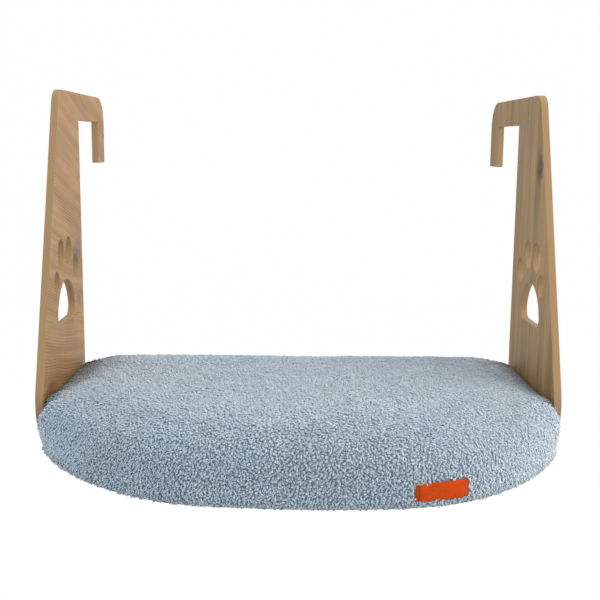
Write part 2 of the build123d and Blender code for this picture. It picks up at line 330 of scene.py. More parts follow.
def grid_faces(rows, columns, closed=False, looped=False):
    """The faces between rows of points; closed rows end at their start, looped ones meet too."""
    faces = []
    for r in range(rows if looped else rows - 1):
        here, there = r * columns, (r + 1) % rows * columns
        for c in range(columns if closed else columns - 1):
            beside = (c + 1) % columns
            faces.append((here + c, here + beside, there + beside, there + c))
    return faces


def fan_faces(first, count, middle):
    """The faces from a ring of points, counted from first, to the point in its middle."""
    return [(first + c, first + (c + 1) % count, middle) for c in range(count)]


def ring_piece(name, rings):
    """A closed mesh over rings of points, with a point in the middle of each end."""
    levels, count = rings.shape[:2]
    points = np.concatenate([rings.reshape(-1, 3), [rings[-1].mean(0), rings[0].mean(0)]])
    faces = grid_faces(levels, count, closed=True)
    faces += fan_faces((levels - 1) * count, count, len(points) - 2)
    faces += [(b, a, middle) for a, b, middle in fan_faces(0, count, len(points) - 1)]
    return mesh_piece(name, points, faces)


def placed(name, data):
    """A new object of that data, in the scene."""
    thing = bpy.data.objects.new(name, data)
    bpy.context.scene.collection.objects.link(thing)
    return thing


def mesh_piece(name, points, faces, material=None):
    mesh = bpy.data.meshes.new(name)
    mesh.from_pydata([tuple(p) for p in points], [], [tuple(f) for f in faces])
    mesh.validate()
    mesh.update()
    if material:
        mesh.materials.append(material)
    return placed(name, mesh)


def vertices(piece):
    out = np.empty(len(piece.data.vertices) * 3)
    piece.data.vertices.foreach_get("co", out)
    return out.reshape(-1, 3)


def set_vertices(piece, points):
    piece.data.vertices.foreach_set("co", np.asarray(points, float).ravel())
    piece.data.update()


def smooth(piece):
    piece.data.polygons.foreach_set("use_smooth", [True] * len(piece.data.polygons))


def apply_modifiers(piece):
    """The piece's mesh as its modifiers leave it, with none left on it."""
    bpy.context.view_layer.update()
    graph = bpy.context.evaluated_depsgraph_get()
    made = bpy.data.meshes.new_from_object(piece.evaluated_get(graph))
    piece.modifiers.clear()
    old, piece.data = piece.data, made
    made.name = piece.name
    bpy.data.meshes.remove(old)


def modify(piece, kind, **settings):
    modifier = piece.modifiers.new(kind.lower(), kind)
    for name, value in settings.items():
        setattr(modifier, name, value)
    return modifier


# ------------------------------------------------------------------ measures of places


def panel_front(z):
    """How far forward the hangers reach at a height: a rounded lower corner, then a slant."""
    corner_y, corner_z, radius = -0.0518, 0.048, 0.048
    foremost, slant_from = -0.0998, 0.0645
    lower = np.clip(corner_z - z, 0, radius)
    rounded = corner_y - np.sqrt(np.maximum(radius**2 - lower**2, 0))
    slant = -0.1205 + 0.3666 * z
    return np.where(z < slant_from, np.maximum(rounded, foremost), slant)


def eased(share):
    """A share from 0 to 1 that starts and ends gently."""
    share = np.clip(share, 0, 1)
    return share * share * (3 - 2 * share)


def press_between_hangers(points, gap=0.0003):
    """Points that stand in the hangers' boards go back to their inner faces."""
    beside = points[:, 1] > panel_front(points[:, 2]) - 0.001
    limit = INNER_X - gap
    points[beside, 0] = np.clip(points[beside, 0], -limit, limit)
    return points


def outside(x, z, middle, half):
    """How far outside the edges of a rectangle a point lies; below zero inside it."""
    return np.maximum(np.abs(x - middle[0]) - half[0], np.abs(z - middle[1]) - half[1])


# ------------------------------------------------------------------ finishes


def plush_finish():
    """Pale ends on roots painted a little darker as shade among the tufts, and painted shade that
    darkens both beside the hangers.
    """
    f = Finish("plush")
    tip, tone, shade = (f.attribute(name) for name in ("tip", "tone", "shade"))
    patches = f.noise(f.place, 14.0, 3.0, 0.55)
    streaks = f.noise(f.join(f.x, f.y * 0.35, f.z * 0.5), 60.0, 2.0)
    # The roots are painted a little darker than the ends: painted shade among the tufts
    root = f.blend(patches.ease(0.35, 0.65), paint(179, 194, 207), paint(184, 198, 209))
    ends = f.blend(patches.ease(0.3, 0.7), paint(186, 202, 218), paint(193, 208, 220))
    colour = f.blend(tip.ease(0.0, 0.75), root, ends)
    dull = f.blend(tone, paint(222, 225, 229), paint(255, 255, 255))
    colour = f.blend(0.5, colour, dull, "MULTIPLY")
    # Painted shade: the shade attribute darkens the colour to a dark brown-grey, lifted in small
    # specks
    speck = f.noise(f.place, 330.0, 2.0)
    shade = shade.most(speck.ease(0.5, 0.62) * shade.ease(0.2, 0.8))
    colour = f.blend(shade, paint(62, 57, 45), colour)
    # Near black where the shade falls to zero: a painted shadow in the crevice at the hangers
    colour = f.blend(shade.ease(0.0, 0.1), paint(30, 27, 22), colour)
    colour = f.blend(streaks.ease(0.35, 0.7) * 0.16, colour, paint(206, 216, 222))
    colour = f.blend(patches.ease(0.52, 0.72) * 0.22, colour, paint(140, 155, 170))
    grain = f.noise(f.place, 1400.0, 2.0)
    return f.finish(
        colour, 0.92, f.bump(grain, 0.0004, 0.5), Sheen_Weight=0.25, Sheen_Roughness=0.5,
        Specular_IOR_Level=0.15, Subsurface_Weight=0.6, Subsurface_Scale=0.0035,
        Subsurface_Radius=(1.0, 1.0, 1.0))


def plain_cloth(name, dark, light, scale):
    """A plain weave: two threads crossing."""
    f = Finish(name)
    weave = (f.x * scale).wave() * (f.y * scale + f.z * scale).wave()
    wear = f.noise(f.place, 30.0, 3.0)
    colour = f.blend(weave * 0.6 + wear * 0.4, dark, light)
    return f.finish(colour, 0.88, f.bump(weave, 0.0003, 0.7), Specular_IOR_Level=0.2)


def oak_finish(name, light, dark, streak, lying, knots):
    """Oak decor on both faces, and a plainer edge.

    Where the grain is lying it runs along Y, and falls to the back above the paw; else it stands.
    Knots are (y, z, half width, half height, tone, share).
    """
    f = Finish(name)
    side = f.x.above(0.0)
    sway = f.noise(f.join(0.0, f.y * 0.4, f.z * 0.8), 12.0, 2.0) - 0.5
    if lying:
        falling = (f.y + 0.05) * f.z.ease(0.09, 0.20, 0.19, 0.32)
        across, along = f.z + falling + sway * 0.022, f.y
        figures, fineness, lined = 90.0, 1900.0, 0.72
    else:
        across, along = f.y + f.z * 0.02 + sway * 0.014, f.z
        figures, fineness, lined = 46.0, 700.0, 0.2
    marks = []
    for y, z, half_y, half_z, tone, share in knots:
        away = ((f.y - y) / half_y) ** 2.0 + ((f.z - z) / half_z) ** 2.0
        across = across + away.ease(0.0, 9.0, 0.010 * (share - 0.6), 0.0)  # the grain goes round
        marks.append((away ** 0.5, tone, share))
    figure = f.noise(f.join(side, across * figures, along * 3.2), 1.0, 4.0, 0.58)
    fine = f.noise(f.join(side, across * figures * 5.5, along * 11.0), 1.0, 3.0, 0.6)
    lines = (across * fineness + figure * 6.0).wave() ** 4.0
    seen = f.noise(f.join(side, across * 24.0, along * 7.0), 1.0, 2.0)
    pores = f.noise(f.join(side, across * 2600.0, along * 90.0), 1.0, 1.0)
    colour = f.blend(figure.ease(0.32, 0.68), dark, light)
    colour = f.blend(lines * seen.ease(0.38, 0.62) * lined, colour, streak)
    colour = f.blend(fine.ease(0.45, 0.75) * 0.45, colour, light)
    colour = f.blend(fine.ease(0.50, 0.28) * 0.30, colour, streak)
    colour = f.blend(pores.ease(0.62, 0.74) * 0.28, colour, streak)
    for away, tone, share in marks:
        away = away + (f.noise(f.place, 130.0, 3.0) - 0.5) * 0.9
        circles = (away * 11.0).wave()
        colour = f.blend(away.ease(0.3, 1.3, share, 0.0), colour, tone)
        colour = f.blend(away.ease(0.2, 1.1, share * 0.8, 0.0) * circles, colour, streak)
    edge = abs(abs(f.x) - BOARD_X).ease(0.0034, 0.0038, 1.0, 0.0)
    layers = f.noise(f.join(f.x * 900.0, f.y * 14.0, f.z * 14.0), 1.0, 3.0)
    band = f.blend(layers, paint(154, 123, 86), paint(176, 145, 105))
    colour = f.blend(edge, colour, band)
    rough = f.noise(f.place, 55.0, 3.0) * 0.16 + 0.42
    relief = f.bump(pores * 0.6 + fine * 0.4, 0.00025, 0.35)
    return f.finish(colour, rough, relief, Specular_IOR_Level=0.22)


def metal_finish(name, low, high, roughness):
    f = Finish(name)
    cloud = f.noise(f.place, 260.0, 4.0, 0.6)
    scratch = f.noise(f.join(f.x * 60.0, f.y * 900.0, f.z * 900.0), 1.0, 2.0)
    rough = cloud * 0.16 + roughness + scratch * 0.08
    relief = f.bump(scratch * 0.5 + cloud * 0.5, 0.00006, 0.5)
    return f.finish(f.blend(cloud, low, high), rough, relief, Metallic=1.0)


def moulded_finish():
    f = Finish("zip_teeth_plastic")
    cloud = f.noise(f.place, 420.0, 3.0)
    colour = f.blend(cloud, paint(118, 130, 140), paint(136, 148, 158))
    return f.finish(colour, cloud * 0.2 + 0.3, f.bump(cloud, 0.0001, 0.4))


def foam_finish():
    f = Finish("foam")
    pits = f.add("ShaderNodeTexVoronoi", None, {"Vector": f.place, "Scale": 700.0})
    colour = f.blend(pits.ease(0.0, 0.6), paint(206, 198, 170), paint(238, 233, 214))
    return f.finish(colour, 0.95, f.bump(pits, 0.0006, 0.8))


def board_finish():
    """Wood, with its plies seen at the edge."""
    f = Finish("board_plies")
    lines = f.noise(f.join(f.x * 4.0, f.y * 40.0, f.z * 20.0), 3.0, 5.0, 0.6)
    plies = ((f.z - 0.001) * 2094.0).wave()
    colour = f.blend(lines, paint(176, 140, 96), paint(214, 184, 138))
    colour = f.blend(plies * 0.35, colour, paint(150, 112, 72))
    return f.finish(colour, 0.7, f.bump(lines, 0.0003, 0.5))


def label_finish():
    """A ribbed orange weave, darker where its two ends are turned in."""
    f = Finish("label_weave")
    weave = (f.z * 9000.0).wave() * 0.65 + (f.x * 7000.0).wave() * 0.35
    cloud = f.noise(f.place, 120.0, 3.0)
    colour = f.blend(cloud.ease(0.3, 0.7), paint(198, 66, 6), paint(210, 76, 8))
    colour = f.blend(weave * 0.35, colour, paint(158, 44, 4))
    ends = abs(f.x - LABEL_MIDDLE[0]).ease(LABEL_HALF[0] - 0.0042, LABEL_HALF[0] - 0.0036)
    colour = f.blend(ends * 0.35, colour, paint(140, 40, 6))
    return f.finish(colour, 0.8, f.bump(weave, 0.00016, 0.7), Specular_IOR_Level=0.12)


def thread_finish(name, low, high):
    f = Finish(name)
    twist = ((f.x + f.y + f.z) * 5200.0).wave()
    return f.finish(f.blend(twist, low, high), 0.6, f.bump(twist, 0.00012, 0.6))


PLUSH = plush_finish()
# The backing's cloth colour, painted a little darker than the tufts' ends as shade between them
BACKING = plain_cloth("plush_backing", paint(158, 171, 182), paint(174, 186, 196), 5200.0)
UNDERSIDE = plain_cloth("underside_cloth", paint(44, 47, 51), paint(66, 70, 75), 4200.0)
TAPE = plain_cloth("zip_tape", paint(98, 110, 121), paint(126, 139, 150), 6000.0)
FOAM = foam_finish()
BOARD = board_finish()
LABEL = label_finish()
LABEL_THREAD = thread_finish("label_thread", paint(206, 96, 44), paint(232, 138, 84))
HEM_THREAD = thread_finish("hem_thread", paint(116, 130, 142), paint(168, 181, 190))
STEEL = metal_finish("zinc_steel", paint(176, 178, 180), paint(214, 216, 217), 0.24)
ZIP_METAL = metal_finish("zip_metal", paint(108, 114, 120), paint(140, 147, 153), 0.3)
TEETH = moulded_finish()
OAK_LEFT = oak_finish(
    "oak_decor_left", paint(178, 142, 101), paint(158, 122, 84), paint(104, 67, 40), lying=True,
    knots=[(0.071, 0.180, 0.026, 0.015, paint(126, 118, 100), 0.8),
           (0.075, 0.128, 0.016, 0.010, paint(138, 128, 108), 0.6),
           (-0.068, 0.056, 0.028, 0.010, paint(132, 80, 56), 0.6)])
OAK_RIGHT = oak_finish(
    "oak_decor_right", paint(187, 149, 103), paint(145, 115, 78), paint(110, 78, 50), lying=False,
    knots=[(-0.003, 0.280, 0.013, 0.016, paint(84, 76, 60), 1.0)])


# ------------------------------------------------------------------ soft pieces


def plump(piece, pressure, cap):
    """Fills a closed soft shell with air for a moment; no point moves further than cap."""
    start = vertices(piece)
    cloth = modify(piece, "CLOTH")
    settings = cloth.settings
    settings.quality = 5
    settings.mass = 0.3
    settings.tension_stiffness = settings.compression_stiffness = 12
    settings.bending_stiffness = 0.6
    settings.use_pressure = True
    settings.uniform_pressure_force = pressure
    settings.effector_weights.gravity = 0
    cloth.collision_settings.use_collision = False
    scene = bpy.context.scene
    for step in range(1, PLUMP_FRAMES + 1):
        scene.frame_set(step)
    apply_modifiers(piece)
    scene.frame_set(1)
    moved = vertices(piece) - start
    length = np.linalg.norm(moved, axis=1, keepdims=True)
    off_floor = eased((start[:, 2:] - 0.006) / 0.02)
    moved *= np.minimum(1, cap / np.maximum(length, 1e-9)) * off_floor
    set_vertices(piece, start + moved)


def geometry_tree(name, given, inputs, result):
    """A new tree from given to result, and its inputs by name; each has its kind and value."""
    group = bpy.data.node_groups.new(name, "GeometryNodeTree")
    face = group.interface
    face.new_socket(given, in_out="INPUT", socket_type="NodeSocketGeometry")
    for label, kind, value in inputs:
        socket = face.new_socket(label, in_out="INPUT", socket_type=f"NodeSocket{kind}")
        if value is not None:
            socket.default_value = value
    face.new_socket(result, in_out="OUTPUT", socket_type="NodeSocketGeometry")
    t = Tree(group)
    labels = (given, *(label for label, _, _ in inputs))
    return t, dict(zip(labels, t.add("NodeGroupInput", output=labels)))


def pile_tree():
    """Nodes that cover a plush backing with curled tufts of pile."""
    t, start = geometry_tree("plush_pile", "Backing", (
        ("Spacing", "Float", 0.0013),
        ("Tufts per area", "Float", 700000.0),
        ("Tuft size", "Float", 0.0028),
        ("Tuft thickness", "Float", 0.32),
        ("Seed", "Int", 7),
        ("Finish", "Material", None),
    ), "Plush")

    def named(name):
        return t.add("GeometryNodeInputNamedAttribute", {"data_type": "FLOAT"}, {"Name": name})

    def shuffle(low, high, seed):
        values = {2: low, 3: high, "Seed": seed}
        return t.add("FunctionNodeRandomValue", {"data_type": "FLOAT"}, values, output=1)

    spread = {"Mesh": start["Backing"], "Distance Min": start["Spacing"],
              "Density Max": start["Tufts per area"], "Density Factor": named("pile"),
              "Seed": start["Seed"]}
    points, normal = t.add("GeometryNodeDistributePointsOnFaces", {"distribute_method": "POISSON"},
                           spread, output=("Points", "Normal"))

    # Three curls: the first stands up, the others hook over
    curls = []
    for middle, end, fat in (
        ((0.15, 0.05, 0.95), (0.55, 0.12, 0.98), 1.0),
        ((0.10, -0.12, 1.15), (0.95, 0.05, 0.62), 0.9),
        ((-0.10, 0.16, 1.05), (0.62, -0.28, 0.98), 1.1),
    ):
        line = t.add("GeometryNodeCurveQuadraticBezier", None,
                     {"Resolution": 3, "Start": (0, 0, -0.18), "Middle": middle, "End": end})
        along = t.add("GeometryNodeSplineParameter")
        line = t.add("GeometryNodeStoreNamedAttribute", {"data_type": "FLOAT", "domain": "POINT"},
                     {"Geometry": line, "Name": "tip", "Value": along})
        body = (along * (1.0 - along)) * 1.1 + 0.74 - along * 0.28
        line = t.add("GeometryNodeSetCurveRadius", None, {"Curve": line, "Radius": body * fat})
        ring = t.add("GeometryNodeCurvePrimitiveCircle", {"mode": "RADIUS"},
                     {"Resolution": 4, "Radius": start["Tuft thickness"]})
        tube = t.add("GeometryNodeCurveToMesh", None,
                     {"Curve": line, "Profile Curve": ring, "Fill Caps": True})
        curls.append(t.add("GeometryNodeGeometryToInstance", None, {"Geometry": tube}))
    curls = t.add("GeometryNodeJoinGeometry", None, {"Geometry": curls[::-1]})

    # Each tuft stands on its cloth, is combed down and to the front, and leans its own way
    noise = t.add("ShaderNodeTexNoise", None, {"Scale": 90.0, "Detail": 2.0}, output="Color")
    wander = t.add("ShaderNodeVectorMath", {"operation": "SUBTRACT"},
                   {0: noise, 1: (0.5, 0.5, 0.5)})
    comb = t.add("ShaderNodeVectorMath", {"operation": "MULTIPLY_ADD"},
                 {0: wander, 1: (5.0, 5.0, 5.0), 2: (0.0, -0.45, -1.0)})
    stand = t.add("FunctionNodeAlignRotationToVector", {"axis": "Z"}, {"Vector": normal})
    turned = t.add("FunctionNodeAlignRotationToVector", {"axis": "X", "pivot_axis": "Z"},
                   {"Rotation": stand, "Vector": comb})
    lean = t.add("FunctionNodeRandomValue", {"data_type": "FLOAT_VECTOR"},
                 {0: (-0.35, -0.35, -1.1), 1: (0.35, 0.5, 1.1), "Seed": 3})
    lean = t.add("FunctionNodeEulerToRotation", None, {0: lean})
    turned = t.add("FunctionNodeRotateRotation", {"rotation_space": "LOCAL"},
                   {"Rotation": turned, "Rotate By": lean})
    size = start["Tuft size"] * shuffle(0.8, 1.2, 11)
    scale = t.add("ShaderNodeCombineXYZ", None, {0: size, 1: size, 2: size * named("growth")})
    pick = t.add("FunctionNodeRandomValue", {"data_type": "INT"}, {4: 0, 5: 2, "Seed": 5},
                 output=2)
    tufts = t.add("GeometryNodeInstanceOnPoints", None, {
        "Points": points, "Instance": curls, "Pick Instance": True, "Instance Index": pick,
        "Rotation": turned, "Scale": scale})
    tufts = t.add("GeometryNodeStoreNamedAttribute", {"data_type": "FLOAT", "domain": "INSTANCE"},
                  {"Geometry": tufts, "Name": "tone", "Value": shuffle(0.0, 1.0, 21)})
    tufts = t.add("GeometryNodeRealizeInstances", None, {"Geometry": tufts})
    tufts = t.add("GeometryNodeSetShadeSmooth", None, {"Geometry": tufts})
    tufts = t.add("GeometryNodeSetMaterial", None,
                  {"Geometry": tufts, "Material": start["Finish"]})
    whole = t.add("GeometryNodeJoinGeometry", None, {"Geometry": [tufts, start["Backing"]]})
    t.add("NodeGroupOutput", None, {"Plush": whole})
    return t.tree


def set_inputs(modifier, **values):
    """Gives a geometry modifier its inputs by the names on its tree."""
    for item in modifier.node_group.interface.items_tree:
        if item.item_type == "SOCKET" and item.in_out == "INPUT":
            key = item.name.replace(" ", "_").lower()
            if key in values:
                modifier[item.identifier] = values[key]


def write_attribute(piece, name, values):
    layer = piece.data.attributes.new(name, "FLOAT", "POINT")
    layer.data.foreach_set("value", np.asarray(values, np.float32))


def settled(points):
    """The filled cover's form in use: a little askew, and full before the hangers' edges."""
    x, y, z = points.T.copy()
    # Its front stands to the right and further forward there, and is tucked in at its low left
    ahead = eased((-0.10 - y) / 0.12) * (0.0015 + 0.0065 * np.clip(x / 0.20, -0.3, 1.0))
    aside = 0.0026 * eased((-0.065 - y) / 0.05)
    tuck = 0.0026 * eased((-0.12 - x) / 0.10) * eased((-0.090 - y) / 0.03) * eased(z / 0.012)
    tuck *= eased((0.036 - z) / 0.02)
    # Its sides swell before the hangers' edges, and its top sinks a little beside the hangers
    swell = np.exp(-(((y + 0.108) / 0.030) ** 2)) * eased((np.abs(x) - 0.20) / 0.05)
    swell *= eased((z - 0.006) / 0.024)
    to_panel = eased(1 - (INNER_X - np.abs(x)) / 0.048) * eased((y + 0.06) / 0.08)
    sunk = np.where(x > 0, 0.0005, 0.002) * to_panel * eased((z - 0.022) / 0.03)
    points[:, 0] += aside + np.where(x > 0, 0.004, -0.0058) * swell + tuck
    points[:, 1] -= ahead
    points[:, 2] += 0.003 * swell - sunk
    return points


def plush_backing():
    """The cover's cloth: a padded shell with the opening of its zip cut out."""
    rings = bed_rings(PILE_DEPTH, FLOOR_GAP, CROWN_Z - PILE_DEPTH, rows=16, count=186)
    soft = ring_piece("soft_cover", rings)
    plump(soft, pressure=2.5, cap=0.003)
    rings = vertices(soft)[:rings.shape[0] * rings.shape[1]].reshape(rings.shape)
    bpy.data.objects.remove(soft)
    rings = refined(rings, up=2, along=3)
    points = settled(rings.reshape(-1, 3))
    top = CROWN_Z + 0.002 - PILE_DEPTH
    points[:, 2] = np.clip(points[:, 2], FLOOR_GAP, top)
    points[:, 1] = np.minimum(points[:, 1], BACK_Y - PILE_DEPTH * 0.5)
    x, y, z = points.T
    at_zip = (y > 0.08) & (outside(x, z, (0, MOUTH_Z), MOUTH_FLAT) < 0)
    points[at_zip, 1] = MOUTH_FACE_Y
    cover = ring_piece("plush", press_between_hangers(points, gap=0.0012).reshape(rings.shape))
    mouth = bed_mouth_block()
    modify(cover, "BOOLEAN", operation="DIFFERENCE", object=mouth, solver="EXACT")
    apply_modifiers(cover)
    bpy.data.objects.remove(mouth)
    cover.data.materials.clear()
    cover.data.materials.append(BACKING)
    smooth(cover)
    return cover


def plush_piece(cover):
    """The cover with its pile, which is short where it is seamed, pressed or turned under."""
    points = vertices(cover)
    normals = np.empty(len(points) * 3)
    cover.data.vertex_normals.foreach_get("vector", normals)
    facing_x, _, facing_z = normals.reshape(-1, 3).T
    x, y, z = points.T
    pile, growth, shade = np.ones((3, len(points)))

    # Bare cloth below, against the hangers, round the mouth, under the pull tab and the label
    behind = y > BACK_Y - 0.012
    mouth_near = outside(x, z, (0, MOUTH_Z), MOUTH_HALF)
    at_hanger = (np.abs(x) > INNER_X - 0.004) & (y > panel_front(z) - 0.002)
    pile[facing_z < -0.6] = 0
    pile[at_hanger & (np.abs(facing_x) > 0.75)] = 0
    pile[behind & (mouth_near < SEAM_ROOM)] = 0
    pile[behind & (outside(x, z, (0, MOUTH_Z), TAB_HALF) < 0)] = 0
    pile[(y < -0.15) & (outside(x, z, LABEL_MIDDLE, LABEL_HALF) < -0.0002)] = 0

    # Shorter near the mouth, at the foot and on top, and brushed flatter on its right
    growth[behind] *= np.clip(0.4 + (mouth_near[behind] - SEAM_ROOM) / 0.014, 0.4, 1)
    growth *= np.clip(0.45 + z / 0.014, 0.45, 1) * (0.88 - 0.2 * eased((facing_z + 0.1) / 0.8))
    growth *= 1 - 0.38 * eased((x - 0.03) / 0.20)

    # Painted shade where it meets the hangers, along the back and at the foot of the front
    inside = (y > panel_front(z) - 0.004) & (np.abs(x) < INNER_X + 0.0006)
    to_panel = np.where(inside, INNER_X - np.abs(x), 1.0)
    width = 0.028 + np.where(x < 0, 0.046, 0.008) * eased((y + 0.09) / 0.12)
    # The second term is a narrow, darker line of painted shadow right at the hangers
    beside_panel = 0.90 * eased(1 - to_panel / width) + 0.25 * eased(1 - to_panel / 0.005)
    shade -= beside_panel * eased((z - 0.034) / 0.014) * eased((0.088 - y) / 0.012)
    shade -= 0.27 * eased((y - 0.055) / 0.025) * eased((z - 0.02) / 0.02)
    shade -= 0.7 * eased((0.0055 - z) / 0.004) * (y < -0.1)

    for name, values in (("pile", pile), ("growth", growth), ("shade", np.clip(shade, 0, 1)),
                         ("tip", np.zeros(len(points))), ("tone", np.full(len(points), 0.4))):
        write_attribute(cover, name, values)
    layer = modify(cover, "NODES", node_group=pile_tree())
    set_inputs(layer, finish=PLUSH)
    apply_modifiers(cover)
    points = vertices(cover)
    points[:, 2] = np.maximum(points[:, 2], PILE_LOW)
    set_vertices(cover, press_between_hangers(points))
    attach(cover, "bed")
    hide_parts("plush_cover")


def bed_mouth_block():
    """The space behind the zip's mouth, to be taken out of the cover."""
    half_x, half_z = MOUTH_HALF
    corners = [(x, y, z) for x in (-half_x, half_x) for y in MOUTH_Y
               for z in (MOUTH_Z - half_z, MOUTH_Z + half_z)]
    faces = [(0, 1, 3, 2), (4, 6, 7, 5), (0, 4, 5, 1), (2, 3, 7, 6), (0, 2, 6, 4), (1, 5, 7, 3)]
    block = mesh_piece("mouth", corners, faces)
    block.hide_render = True
    return block


def foam_piece():
    """The pad on the board, inside the cover."""
    rings = bed_rings(FOAM_INSET, FOAM_BASE, CROWN_Z - FOAM_INSET, rows=14, count=124)
    points = settled(rings.reshape(-1, 3))
    points[:, 2] = np.maximum(points[:, 2], FOAM_LOW)
    points[:, 1] = np.minimum(points[:, 1], FOAM_BACK)
    points[:, 0] = np.clip(points[:, 0], -FOAM_SIDE, FOAM_SIDE)
    foam = ring_piece("foam_pad", refined(rings, up=1, along=2))
    foam.data.materials.append(FOAM)
    smooth(foam)
    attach(foam, "bed")
    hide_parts("foam_core")


def grid_piece(name, grid, finish, thickness, closed=False):
    """A cloth strip, or a closed sheet of rings filled in its middle, with its thickness."""
    rows, columns = grid.shape[:2]
    faces = grid_faces(rows, columns, closed)
    points = grid.reshape(-1, 3)
    if closed:
        faces += fan_faces((rows - 1) * columns, columns, len(points))
        points = np.concatenate([points, [grid[-1].mean(0)]])
    piece = mesh_piece(name, points, faces, finish)
    modify(piece, "SOLIDIFY", thickness=thickness, offset=0.0, use_even_offset=False)
    modify(piece, "BEVEL", width=thickness * 0.35, segments=1, limit_method="ANGLE")
    apply_modifiers(piece)
    smooth(piece)
    return piece


def label_piece(skin):
    """The woven label, sewn down on the cover at its two ends, and its stitches."""
    columns, rows = np.linspace(-1, 1, 71), np.linspace(-1, 1, 23)
    grid, outward = np.empty((2, len(rows), len(columns), 3))
    for r, v in enumerate(rows):
        for c, u in enumerate(columns):
            spot = (LABEL_MIDDLE[0] + u * LABEL_HALF[0], -0.5,
                    LABEL_MIDDLE[1] + v * LABEL_HALF[1])
            place, normal = skin.ray_cast(spot, (0, 1, 0))[:2]
            sewn = eased((abs(u) - 0.80) / 0.13)
            rim = eased((abs(v) - 0.72) / 0.28)
            wave = 0.00022 * math.sin(4.4 * u + 1.7 * v) + 0.00012 * math.sin(11.0 * u - 2.0 * v)
            # It lies on the pile; its sewn ends and its rims are drawn down into it
            lift = 0.0026 - 0.0011 * sewn - 0.0007 * rim + wave * (1 - sewn)
            grid[r, c] = place + normal * lift
            outward[r, c] = normal
    label = grid_piece("sewn_label", grid[:, ::-1], LABEL, thickness=0.0006)
    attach(label, "bed")
    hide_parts("woven_label")
    stitches = [
        (grid[2:-2, column] + outward[2:-2, column] * 0.00035, outward[2:-2, column], False)
        for column in (3, -4)
    ]
    thread = stitch_piece("label_stitches", stitches, LABEL_THREAD,
                          pitch=0.0019, thread=0.0003)


def underside_outline(inset, count):
    """The edge of the cloth below the bed, drawn in from the cover's own lower edge."""
    lean = LEVELS[0][2] * ROLL + PILE_DEPTH * 0.6
    shoulder = (SHOULDER[0] - lean - inset, SHOULDER[1])
    side, front, back = INNER_X - 0.001 - inset, FRONT_Y + lean + inset, BACK_Y - 0.005 - inset
    ring = even_ring(bed_outline(side, shoulder, front, back), count)
    return settled(np.c_[ring, np.zeros(count)])[:, :2]


def underside_piece():
    """The plain cloth below the board, and the cover's edge hemmed over it."""
    count = 360
    edge = underside_outline(HEM - 0.001, count)
    middle = edge.mean(0)
    shares = np.linspace(1, 0.02, 34)
    grid = np.empty((len(shares), count, 3))
    for row, share in enumerate(shares):
        grid[row, :, :2] = middle + (edge - middle) * share
        x, y = grid[row, :, :2].T
        wave = np.sin(x * 61 + np.sin(y * 23) * 2) * np.sin(y * 47)
        grid[row, :, 2] = 0.00062 + 0.00016 * wave
    cloth = grid_piece("underside_cloth", grid, UNDERSIDE, thickness=0.0004, closed=True)
    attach(cloth, "bed")
    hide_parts("underside_panel")

    across = np.linspace(0, math.pi, 9)
    outer, inner = underside_outline(0.0008, count), underside_outline(HEM + 0.0014, count)
    fold = np.empty((2 * len(across) - 2, count, 3))
    level, under, over = 0.0005, -0.00042, 0.00035
    for row, turn in enumerate(np.r_[across, across[-2:0:-1]]):
        share = (1 - math.cos(turn)) / 2
        fold[row, :, :2] = outer + (inner - outer) * share
        fold[row, :, 2] = level + (under if row < len(across) else over) * math.sin(turn) ** 0.5
    points = fold.transpose(1, 0, 2)
    faces = grid_faces(count, points.shape[1], closed=True, looped=True)
    hem = mesh_piece("turned_hem", points.reshape(-1, 3), faces, BACKING)
    smooth(hem)
    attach(hem, "bed")
    sewing = underside_outline(HEM - 0.0022, 720)
    line = np.c_[sewing, np.full(len(sewing), 0.00025)]
    down = np.tile((0.0, 0.0, -1.0), (len(line), 1))
    thread = stitch_piece("hem_stitches", [(line, down, True)], HEM_THREAD,
                          pitch=0.0042, thread=0.00036)
    x, y = edge.T
    size = edge.max(0) - edge.min(0)


def zip_tape_piece(name, node, side):
    """One woven tape of the zip, gently waved along its length and rippled at its edge by the
    teeth.
    """
    low, high = (Vector(corner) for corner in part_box(node))
    along = np.linspace(low.x, high.x, 231)
    across = np.linspace(0, 1, 9)
    near, far = (low.z, high.z) if side > 0 else (high.z, low.z)
    grid = np.empty((len(across), len(along), 3))
    wave, ripple = 0.00016 * np.sin(along * 190 + side), 0.0001 * np.sin(along * 260)
    for row, share in enumerate(across):
        grid[row, :, 0] = along
        grid[row, :, 1] = (low.y + high.y) / 2 + wave * share
        grid[row, :, 2] = near + (far - near) * share + ripple * (1 - share) * side
    if side > 0:
        grid = grid[::-1]
    tape = grid_piece(name, grid, TAPE, thickness=0.00055)
    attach(tape, "bed")
    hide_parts(node)


def zip_stitches():
    """Two rows of topstitching round the mouth of the cover."""
    runs, bend, on_cloth = [], 0.002, MOUTH_FACE_Y + 0.00025
    for away in (0.0014, 0.0028):
        half_x, half_z = MOUTH_HALF[0] + away, MOUTH_HALF[1] + away
        line = []
        for corner, (sx, sz) in enumerate(((1, 1), (-1, 1), (-1, -1), (1, -1))):
            for turn in np.linspace(0, math.pi / 2, 5) + corner * math.pi / 2:
                line.append((sx * (half_x - bend) + bend * math.cos(turn), on_cloth,
                             MOUTH_Z + sz * (half_z - bend) + bend * math.sin(turn)))
        runs.append((np.array(line), np.tile((0.0, 1.0, 0.0), (len(line), 1)), True))
    stitch_piece("mouth_stitches", runs, HEM_THREAD, pitch=0.0032, thread=0.00042)


